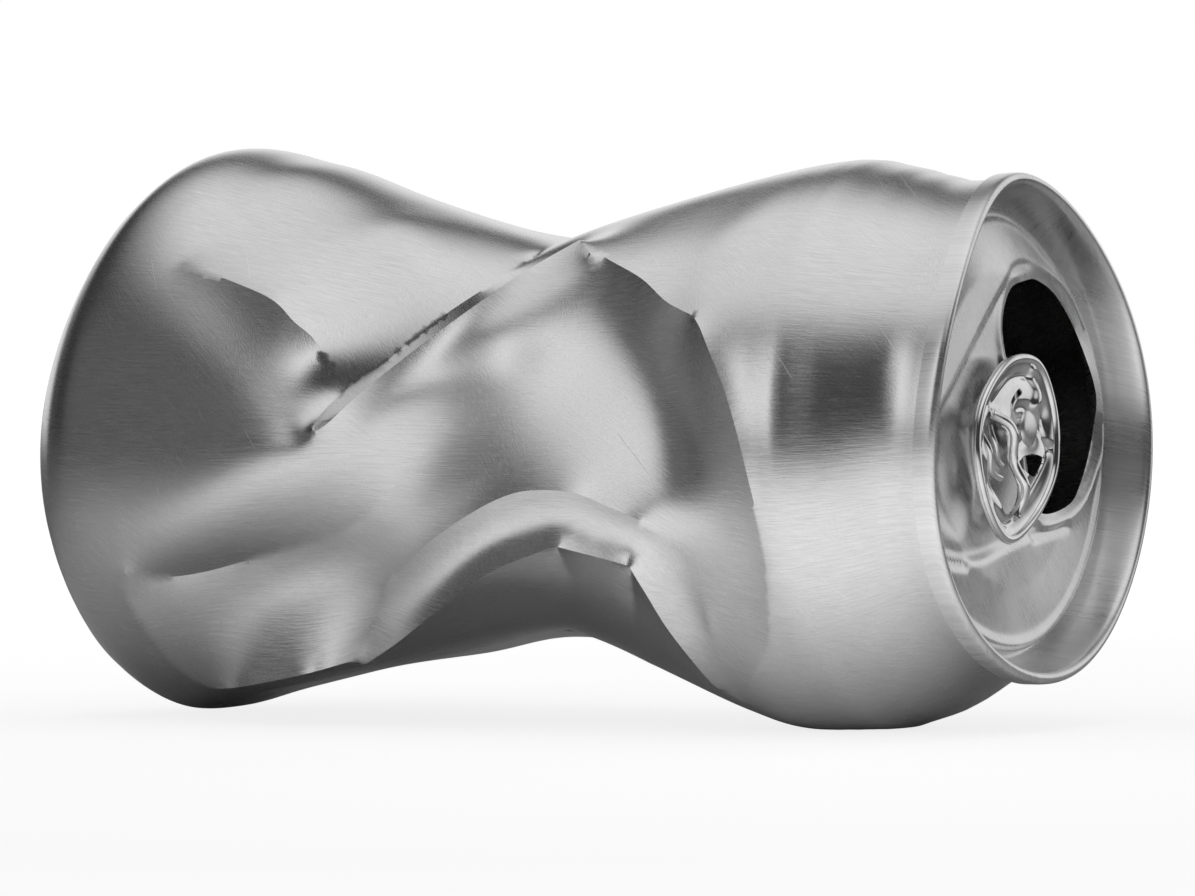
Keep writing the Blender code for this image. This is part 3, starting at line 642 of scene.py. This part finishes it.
def pressed(xy):
    """Height that the press gives the panel, seen from outside, in the end's own frame."""
    r = np.hypot(xy[:, 0], xy[:, 1])
    inner = step_down(r - 24.2, 1.2)
    recess = -0.55 * step_down(from_line(xy, RECESS), 1.3) * inner
    edge_bead = 0.28 * ridge(r - 24.6, 0.55)
    mouth_bead = 0.30 * ridge(from_line(xy, MOUTH) - 1.1, 0.7) * inner
    well = np.hypot((xy[:, 0] + 4.7) / 6.8, (xy[:, 1] - 13.6) / 5.0)
    finger_well = -0.75 * step_down(well - 0.8, 0.75) * inner
    lift = recess + edge_bead + mouth_bead + finger_well
    for mark in PRESS_MARKS:
        lift += -0.45 * ridge(from_line(xy, rounded(mark, 6, closed=False), closed=False), 0.42)
    rivet_boss = 0.5 * step_down(r - 3.0, 2.2)
    uneven = 0.02 * np.sin(xy[:, 0]*0.45 + 1.0) * np.cos(xy[:, 1]*0.37) * inner
    return (lift + (rivet_boss + uneven)) * (r < PANEL_EDGE + 0.2)


co = points_of(end)
co[:, 2] += pressed(co[:, :2])
set_points(end, co)
outward(end)
rivet = turned('rivet', [(-1.45, 0.0), (-1.48, 0.8), (-1.58, 1.5), (-1.75, 1.95), (-1.95, 2.1), (-2.12, 1.95),
                         (-2.2, 1.4), (-2.3, 1.3), (-PANEL-0.2, 1.3), (-PANEL-0.2, 0.0)], SMALL_STEPS)
outward(rivet)
flap = turned('torn_panel', [(0.15, 0.0), (0.15, 0.6), (0.12, 0.9), (0.0, 1.0), (-0.12, 0.9), (-0.15, 0.6),
                             (-0.15, 0.0)], SMALL_STEPS)
co = points_of(flap)
co[:, 0] *= FLAP_HALF
co[:, 1] *= FLAP_DEEP
co[:, 2] += 0.02 * co[:, 0]**2
set_points(flap, co)
flap.data.transform(Matrix.Rotation(math.radians(FLAP_TILT), 4, 'X'))
flap.data.transform(Matrix.Translation((*FLAP_PLACE, -PANEL-FLAP_DEEP)))
outward(flap)
sheet(end, END_SHEET, inner_slot=1)
en, eu, ev = end_directions(END_YAW, END_PITCH)


def into_place(obj):
    """From the end's own frame to the can's, with the bent rim."""
    co = points_of(obj)
    r = np.hypot(co[:, 0], co[:, 1])
    angle = np.degrees(np.arctan2(co[:, 1], co[:, 0]))
    bend = rim_bend(angle, RIM_HEIGHT + 0*r) * np.clip((r - RIM_FREE) / RIM_RUN, 0, 1)
    while obj.data.uv_layers:
        obj.data.uv_layers.remove(obj.data.uv_layers[0])
    lay_flat(obj.data, co[:, :2])
    placed = (np.array(END_CENTRE) + co[:, :1]*ev - co[:, 1:2]*eu + (co[:, 2] + bend)[:, None]*en
              + np.array(SET_DOWN))
    set_points(obj, placed * MM)


end = join([end, rivet, flap], 'can_end_sheet')
into_place(end)
smooth_shading(end, END_SHADE_ANGLE)
set_points(body, points_of(body) * MM)
smooth_shading(body, SHADE_ANGLE)

# ---- pull tab ----
EDGE = rounded(((8, -1), (7, -4), (4, -6), (0, -7), (-4.5, -6.5), (-8, -4), (-11, 0), (-12.5, 4),
                (-11, 7), (-7, 9.5), (-2, 10.5), (2, 9.5), (5, 7), (7.5, 3)), 10)
LOOP = rounded(((1.5, 7.5), (1, 5.5), (-4.5, 3), (-8, 2.5), (-9.5, 3.5), (-9, 5.5), (-5.5, 7.5),
                (-1, 8.5)), 8)
HOLE = rounded(((-3, -1.5), (-4, -4), (-5.5, -1), (-4, 1.5)), 4)
TEAR = rounded(((4.5, 0.5), (3, 2.5), (1, 3), (1, 2.5), (3, 1.5), (4, 0)), 4)
TAB_GRID, TAB_SPAN, TAB_MIDDLE = (112, 120), (23, 24), (-2.2, 1.7)
bpy.ops.mesh.primitive_grid_add(x_subdivisions=TAB_GRID[0], y_subdivisions=TAB_GRID[1],
                                size=1, location=(0, 0, 0))
tab = bpy.context.object
tab.name = 'tab_sheet'
co = points_of(tab)
co[:, :2] = co[:, :2] * TAB_SPAN + TAB_MIDDLE
set_points(tab, co)
cut_out(tab, EDGE, keep_inside=True)
for hole in (LOOP, HOLE, TEAR):
    cut_out(tab, hole)


def tab_level(xy):
    """Height of the crumpled tab over its own plane."""
    edge = from_line(xy, EDGE)
    level = -0.5*ridge(edge + 1.9, 0.9) + 0.35*ridge(from_line(xy, LOOP) - 0.6, 0.5)
    level += 0.5*ridge(from_line(xy, np.array([(6.5, -2.5), (4, -3), (2.5, -2), (1, -3)]), False), 0.6)
    level += -0.4*ridge(from_line(xy, np.array([(0.5, -3.5), (-1.5, -4.5), (-2.5, -6)]), False), 0.5)
    level += 0.3*np.sin(xy[:, 0]*0.9 + 0.5*xy[:, 1]) * step_down(edge + 1.5, 2.0)
    level += -0.5*step_down(np.hypot(xy[:, 0], xy[:, 1]) - 3.0, 1.6)
    return level - 0.10*xy[:, 1] - 2.6


co = points_of(tab)
co[:, 2] = tab_level(co[:, :2])
set_points(tab, co)
outward(tab)
sheet(tab, TAB_SHEET)


def lay(line, lift):
    """A line laid on the tab, lifted by a little."""
    line = np.asarray(line, float)
    return [(x, y, z + lift) for (x, y), z in zip(line, tab_level(line))]


BAR = rounded(((2, 7), (0.5, 4.5), (-2, 3.5), (-5, 2.5), (-8, 1.5), (-10, 2)), 8, closed=False)
CURL_1 = rounded(((0.5, 8), (-2, 7.5), (-4.5, 6.5), (-5.5, 4.5)), 8, closed=False)
CURL_2 = rounded(((0.5, 6.5), (-1, 6.5), (-3, 5.5), (-4, 4)), 8, closed=False)
beads = [rolled_bead('edge_bead', lay(EDGE, 0.05), 0.55, closed=True),
         rolled_bead('bar', lay(BAR, 0.35), 0.62),
         rolled_bead('curl_1', lay(CURL_1, -0.4), 0.45),
         rolled_bead('curl_2', lay(CURL_2, -0.3), 0.35)]
tab = join([tab] + beads, 'tab_sheet')
into_place(tab)
smooth_shading(tab, TAB_SHADE_ANGLE)


# ---- finishes ----
def node(tree, kind, **settings):
    made = tree.nodes.new(kind)
    for key, value in settings.items():
        if key.startswith('in_'):
            made.inputs[key[3:].replace('_', ' ')].default_value = value
        else:
            setattr(made, key, value)
    return made


def strokes(tree, angle, width, length, seed):
    """Fine parallel hairs on the flat sheet, at an angle from round the can, in millimetres."""
    place = node(tree, 'ShaderNodeUVMap', uv_map='sheet')
    turn = node(tree, 'ShaderNodeMapping', vector_type='TEXTURE')
    turn.inputs['Rotation'].default_value = (0, 0, math.radians(angle))
    turn.inputs['Scale'].default_value = (length, width, 1)
    turn.inputs['Location'].default_value = (seed, 3 * seed, 0)
    grain = node(tree, 'ShaderNodeTexNoise', in_Scale=1.0, in_Detail=3.0, in_Roughness=0.6)
    tree.links.new(place.outputs[0], turn.inputs['Vector'])
    tree.links.new(turn.outputs[0], grain.inputs['Vector'])
    return grain.outputs['Fac']


def patches(tree, size, low, high, seed):
    """Soft-edged patches on the flat sheet, 0 outside and 1 inside."""
    place = node(tree, 'ShaderNodeUVMap', uv_map='sheet')
    turn = node(tree, 'ShaderNodeMapping')
    turn.inputs['Location'].default_value = (seed, seed, 0)
    cloud = node(tree, 'ShaderNodeTexNoise', in_Scale=1.0 / size, in_Detail=4.0)
    tree.links.new(place.outputs[0], turn.inputs['Vector'])
    tree.links.new(turn.outputs[0], cloud.inputs['Vector'])
    return soft_edge(tree, cloud.outputs['Fac'], low, high)


def mixed(tree, a, b, amount):
    """Between two values, by an amount that may be a value or a number."""
    mix = node(tree, 'ShaderNodeMix')
    for value, socket in ((amount, mix.inputs[0]), (a, mix.inputs[2]), (b, mix.inputs[3])):
        if isinstance(value, (int, float)):
            socket.default_value = value
        else:
            tree.links.new(value, socket)
    return mix.outputs[0]


def soft_edge(tree, value, dark, bright):
    """0 at dark, 1 at bright, and a soft step between them."""
    ramp = node(tree, 'ShaderNodeMapRange', interpolation_type='SMOOTHSTEP')
    ramp.inputs['From Min'].default_value = dark
    ramp.inputs['From Max'].default_value = bright
    tree.links.new(value, ramp.inputs['Value'])
    return ramp.outputs['Result']


def product(tree, values, scale):
    """All the values multiplied together, times a scale."""
    total = None
    for value in values:
        times = node(tree, 'ShaderNodeMath', operation='MULTIPLY')
        tree.links.new(value, times.inputs[0])
        times.inputs[1].default_value = scale if total is None else 1.0
        if total is not None:
            tree.links.new(total, times.inputs[1])
        total = times.outputs[0]
    return total


def between(tree, value, low, high):
    """Spreads a grain value over a range."""
    ramp = node(tree, 'ShaderNodeMapRange')
    ramp.inputs['From Min'].default_value = 0.3
    ramp.inputs['From Max'].default_value = 0.7
    ramp.inputs['To Min'].default_value = low
    ramp.inputs['To Max'].default_value = high
    tree.links.new(value, ramp.inputs['Value'])
    return ramp.outputs['Result']


def metal(name, grain, shade, gloss, depth):
    """Bare metal. Shade and gloss are (low, high) ranges that the grain runs through."""
    mat = bpy.data.materials.new(name)
    mat.use_nodes = True
    tree = mat.node_tree
    shader = tree.nodes['Principled BSDF']
    shader.inputs['Metallic'].default_value = 1.0
    value = grain(tree)
    colour = node(tree, 'ShaderNodeCombineColor')
    level = between(tree, value, *shade)
    for channel in colour.inputs:
        tree.links.new(level, channel)
    tree.links.new(colour.outputs[0], shader.inputs['Base Color'])
    tree.links.new(between(tree, value, *gloss), shader.inputs['Roughness'])
    bump = node(tree, 'ShaderNodeBump', in_Strength=1.0, in_Distance=depth * MM)
    tree.links.new(value, bump.inputs['Height'])
    tree.links.new(bump.outputs[0], shader.inputs['Normal'])
    return mat


def drawn_wall(tree):
    """Hairs along the can, crossed by slanting ones in patches, with a few long scratches."""
    along = mixed(tree, strokes(tree, 90, 0.22, 5.0, 3), strokes(tree, 84, 0.12, 2.2, 7), 0.5)
    slant = mixed(tree, strokes(tree, 48, 0.20, 4.0, 11), strokes(tree, 62, 0.13, 2.4, 5), 0.5)
    brushed = mixed(tree, along, slant, product(tree, (patches(tree, 22, 0.42, 0.62, 40),), 0.75))
    where_short = product(tree, (patches(tree, 14, 0.5, 0.64, 12),), 0.5)
    short = mixed(tree, brushed, strokes(tree, 20, 0.16, 1.1, 9), where_short)
    scratch = soft_edge(tree, strokes(tree, 33, 0.35, 26.0, 21), 0.68, 0.74)
    return mixed(tree, short, 0.95, product(tree, (scratch,), 0.45))


def pressed_end(tree):
    """Slanting brushing of the rolled sheet, a little uneven."""
    fine = mixed(tree, strokes(tree, 40, 0.18, 4.5, 2), strokes(tree, 52, 0.11, 1.8, 6), 0.4)
    return mixed(tree, fine, patches(tree, 5, 0.35, 0.65, 8), 0.12)


def polished_tab(tree):
    """Nearly mirror bright, with faint handling marks."""
    return mixed(tree, strokes(tree, 10, 0.25, 1.2, 4), patches(tree, 2.5, 0.4, 0.6, 3), 0.5)


def lacquer_and_painted_shade(tree):
    """Sprayed lacquer, faintly cloudy; its near-black colour is painted shade for the inside of the can."""
    return patches(tree, 6, 0.3, 0.7, 15)


sheet_mat = metal('bare_sheet', drawn_wall, (0.62, 0.92), (0.20, 0.31), 0.020)
# the inside of the can is a lacquer painted nearly black, as painted shade
inside_painted_shade_mat = metal('inside_lacquer_painted_shade', lacquer_and_painted_shade, (0.05, 0.07), (0.45, 0.55), 0.004)
end_mat = metal('end_sheet', pressed_end, (0.68, 0.94), (0.24, 0.34), 0.012)
tab_mat = metal('tab_sheet', polished_tab, (0.80, 0.88), (0.06, 0.12), 0.004)
for obj, mats in ((body, (sheet_mat, inside_painted_shade_mat)), (end, (end_mat, inside_painted_shade_mat)), (tab, (tab_mat,))):
    obj.data.materials.clear()
    for mat in mats:
        obj.data.materials.append(mat)

for obj, cad, slot in ((body, 'can_body', 'body_sheet'), (end, 'can_end', 'end_sheet'),
                       (tab, 'pull_tab', 'tab_sheet')):
    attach(obj, 'root')
    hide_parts(cad)

# ---- floor, studio light and camera ----
bpy.ops.mesh.primitive_plane_add(size=FLOOR_SIZE, location=(0, 0, 0))
floor = bpy.context.object
floor.name = 'floor'
mat = bpy.data.materials.new('pale_floor_painted_light')
mat.use_nodes = True
tree = mat.node_tree
tree.nodes.clear()
out = node(tree, 'ShaderNodeOutputMaterial')
place = node(tree, 'ShaderNodeTexCoord')
away = node(tree, 'ShaderNodeVectorMath', operation='DISTANCE')
away.inputs[1].default_value = FLOOR_CENTRE
tree.links.new(place.outputs['Object'], away.inputs[0])
split = node(tree, 'ShaderNodeSeparateXYZ')
tree.links.new(place.outputs['Object'], split.inputs[0])
ramp = node(tree, 'ShaderNodeMapRange')
ramp.inputs['From Min'].default_value = FLOOR_PAINTED_LIGHT_REACH
ramp.inputs['From Max'].default_value = 0.0
tree.links.new(away.outputs['Value'], ramp.inputs['Value'])
fade = node(tree, 'ShaderNodeMath', operation='POWER')
fade.inputs[1].default_value = FLOOR_PAINTED_LIGHT_FADE
tree.links.new(ramp.outputs['Result'], fade.inputs[0])
painted_light_pool = fade.outputs[0]
slanting = node(tree, 'ShaderNodeVectorMath', operation='DOT_PRODUCT')
slanting.inputs[1].default_value = FLOOR_SLANT
tree.links.new(place.outputs['Object'], slanting.inputs[0])
painted_light_front = soft_edge(tree, slanting.outputs['Value'], *FLOOR_PAINTED_SHADOW_BEHIND)
right = soft_edge(tree, split.outputs['X'], *FLOOR_PAINTED_SHADE_LEFT)
# painted light: for the metal the floor glows in a pool round the can, darker behind it and towards the left
# as painted shadow
lit = node(tree, 'ShaderNodeEmission')
tree.links.new(product(tree, (painted_light_pool, painted_light_front, right), FLOOR_PAINTED_LIGHT), lit.inputs['Strength'])
matt = node(tree, 'ShaderNodeBsdfDiffuse', in_Color=FLOOR_FOR_METAL)
floor_for_metal_painted_light = node(tree, 'ShaderNodeAddShader')
tree.links.new(lit.outputs[0], floor_for_metal_painted_light.inputs[0])
tree.links.new(matt.outputs[0], floor_for_metal_painted_light.inputs[1])
glow = node(tree, 'ShaderNodeEmission', in_Color=(1, 1, 1, 1))
white = node(tree, 'ShaderNodeMapRange')
for socket, value in zip(('From Min', 'From Max', 'To Min', 'To Max'), FLOOR_WHITENS):
    white.inputs[socket].default_value = value
tree.links.new(away.outputs['Value'], white.inputs['Value'])
tree.links.new(white.outputs['Result'], glow.inputs['Strength'])
shade = node(tree, 'ShaderNodeBsdfDiffuse', in_Color=FLOOR_FOR_EYE)
seen = node(tree, 'ShaderNodeAddShader')
tree.links.new(glow.outputs[0], seen.inputs[0])
tree.links.new(shade.outputs[0], seen.inputs[1])
ray = node(tree, 'ShaderNodeLightPath')
pick = node(tree, 'ShaderNodeMixShader')
tree.links.new(ray.outputs['Is Camera Ray'], pick.inputs[0])
tree.links.new(floor_for_metal_painted_light.outputs[0], pick.inputs[1])
tree.links.new(seen.outputs[0], pick.inputs[2])
tree.links.new(pick.outputs[0], out.inputs[0])
floor.data.materials.append(mat)


def light_panel(name, size, edges, level):
    """A panel of light that the camera can't see, fading out at its edges (metres)."""
    bpy.ops.mesh.primitive_plane_add(size=1, location=(0, 0, 0))
    panel = bpy.context.object
    panel.name = name
    set_points(panel, points_of(panel) * (*size, 1))
    panel.visible_camera = False
    mat = bpy.data.materials.new(name)
    mat.use_nodes = True
    tree = mat.node_tree
    tree.nodes.clear()
    out = node(tree, 'ShaderNodeOutputMaterial')
    place = node(tree, 'ShaderNodeTexCoord')
    split = node(tree, 'ShaderNodeSeparateXYZ')
    tree.links.new(place.outputs['Object'], split.inputs[0])
    x, y = split.outputs['X'], split.outputs['Y']
    lit = node(tree, 'ShaderNodeEmission')
    left, right, low, high = edges
    strength = product(tree, (soft_edge(tree, x, *left), soft_edge(tree, x, *right),
                              soft_edge(tree, y, *low), soft_edge(tree, y, *high)), level)
    tree.links.new(strength, lit.inputs['Strength'])
    clear = node(tree, 'ShaderNodeBsdfTransparent')
    both = node(tree, 'ShaderNodeAddShader')
    tree.links.new(lit.outputs[0], both.inputs[0])
    tree.links.new(clear.outputs[0], both.inputs[1])
    tree.links.new(both.outputs[0], out.inputs[0])
    panel.data.materials.append(mat)
    return panel


overhead = light_panel('overhead_soft_box', BOX_SIZE, (BOX_LEFT, BOX_RIGHT, BOX_FRONT, BOX_BACK), BOX_LEVEL)
overhead.location.z = BOX_HEIGHT
strip = light_panel('tall_soft_box', STRIP_SIZE, (STRIP_LEFT, STRIP_RIGHT, STRIP_LOW, STRIP_TOP), STRIP_LEVEL)
strip.rotation_euler = (math.pi/2, 0, math.radians(STRIP_AZIMUTH + 90))
strip_angle = math.radians(STRIP_AZIMUTH)
strip.location = [STRIP_DISTANCE * q for q in (math.cos(strip_angle), math.sin(strip_angle), 0)]

# the far soft boxes stand in a dim field
world = bpy.data.worlds.new('studio')
bpy.context.scene.world = world
world.use_nodes = True
tree = world.node_tree
tree.nodes.clear()
out = node(tree, 'ShaderNodeOutputWorld')
coords = node(tree, 'ShaderNodeTexCoord')
total = None
for az, el, full, ends, level in SOFT_BOXES:
    a, e = math.radians(az), math.radians(el)
    dot = node(tree, 'ShaderNodeVectorMath', operation='DOT_PRODUCT')
    dot.inputs[1].default_value = (math.cos(e)*math.cos(a), math.cos(e)*math.sin(a), math.sin(e))
    tree.links.new(coords.outputs['Generated'], dot.inputs[0])
    lit = product(tree, (soft_edge(tree, dot.outputs['Value'], math.cos(math.radians(ends)),
                                   math.cos(math.radians(full))),), level)
    plus = node(tree, 'ShaderNodeMath', operation='ADD')
    plus.inputs[1].default_value = FIELD
    tree.links.new(lit, plus.inputs[0])
    if total is not None:
        tree.links.new(total, plus.inputs[1])
    total = plus.outputs[0]
studio = node(tree, 'ShaderNodeBackground')
tree.links.new(total, studio.inputs['Strength'])
white = node(tree, 'ShaderNodeBackground', in_Color=(1, 1, 1, 1), in_Strength=1.0)
ray = node(tree, 'ShaderNodeLightPath')
pick = node(tree, 'ShaderNodeMixShader')
behind = node(tree, 'ShaderNodeVectorMath', operation='DOT_PRODUCT')
behind.inputs[1].default_value = (math.cos(math.radians(BACKDROP)), math.sin(math.radians(BACKDROP)), 0)
tree.links.new(coords.outputs['Generated'], behind.inputs[0])
towards_backdrop = soft_edge(tree, behind.outputs['Value'], *BACKDROP_EDGE)
mirrored = product(tree, (ray.outputs['Is Glossy Ray'], towards_backdrop), 1.0)
seen = node(tree, 'ShaderNodeMath', operation='MAXIMUM')
tree.links.new(ray.outputs['Is Camera Ray'], seen.inputs[0])
tree.links.new(mirrored, seen.inputs[1])
tree.links.new(seen.outputs[0], pick.inputs[0])
tree.links.new(studio.outputs[0], pick.inputs[1])
tree.links.new(white.outputs[0], pick.inputs[2])
tree.links.new(pick.outputs[0], out.inputs[0])

bpy.context.scene.view_settings.view_transform = 'Standard'
target = np.array(CAMERA_TARGET) + np.array(SET_DOWN)
a, e = math.radians(CAMERA_AZIMUTH), math.radians(CAMERA_ELEVATION)
back = np.array((math.sin(a)*math.cos(e), -math.cos(a)*math.cos(e), math.sin(e)))
camera_data = bpy.data.cameras.new('camera')
camera = bpy.data.objects.new('camera', camera_data)
bpy.context.scene.collection.objects.link(camera)
camera_data.lens = CAMERA_LENS
camera_data.sensor_width = 36
camera_data.clip_start = 0.01
camera_data.clip_end = 100
turn = (Matrix.Rotation(a, 4, 'Z') @ Matrix.Rotation(math.pi/2 - e, 4, 'X')
        @ Matrix.Rotation(math.radians(CAMERA_ROLL), 4, 'Z'))
camera.matrix_world = Matrix.Translation(Vector((target + back*CAMERA_DISTANCE) * MM)) @ turn
bpy.context.scene.camera = camera
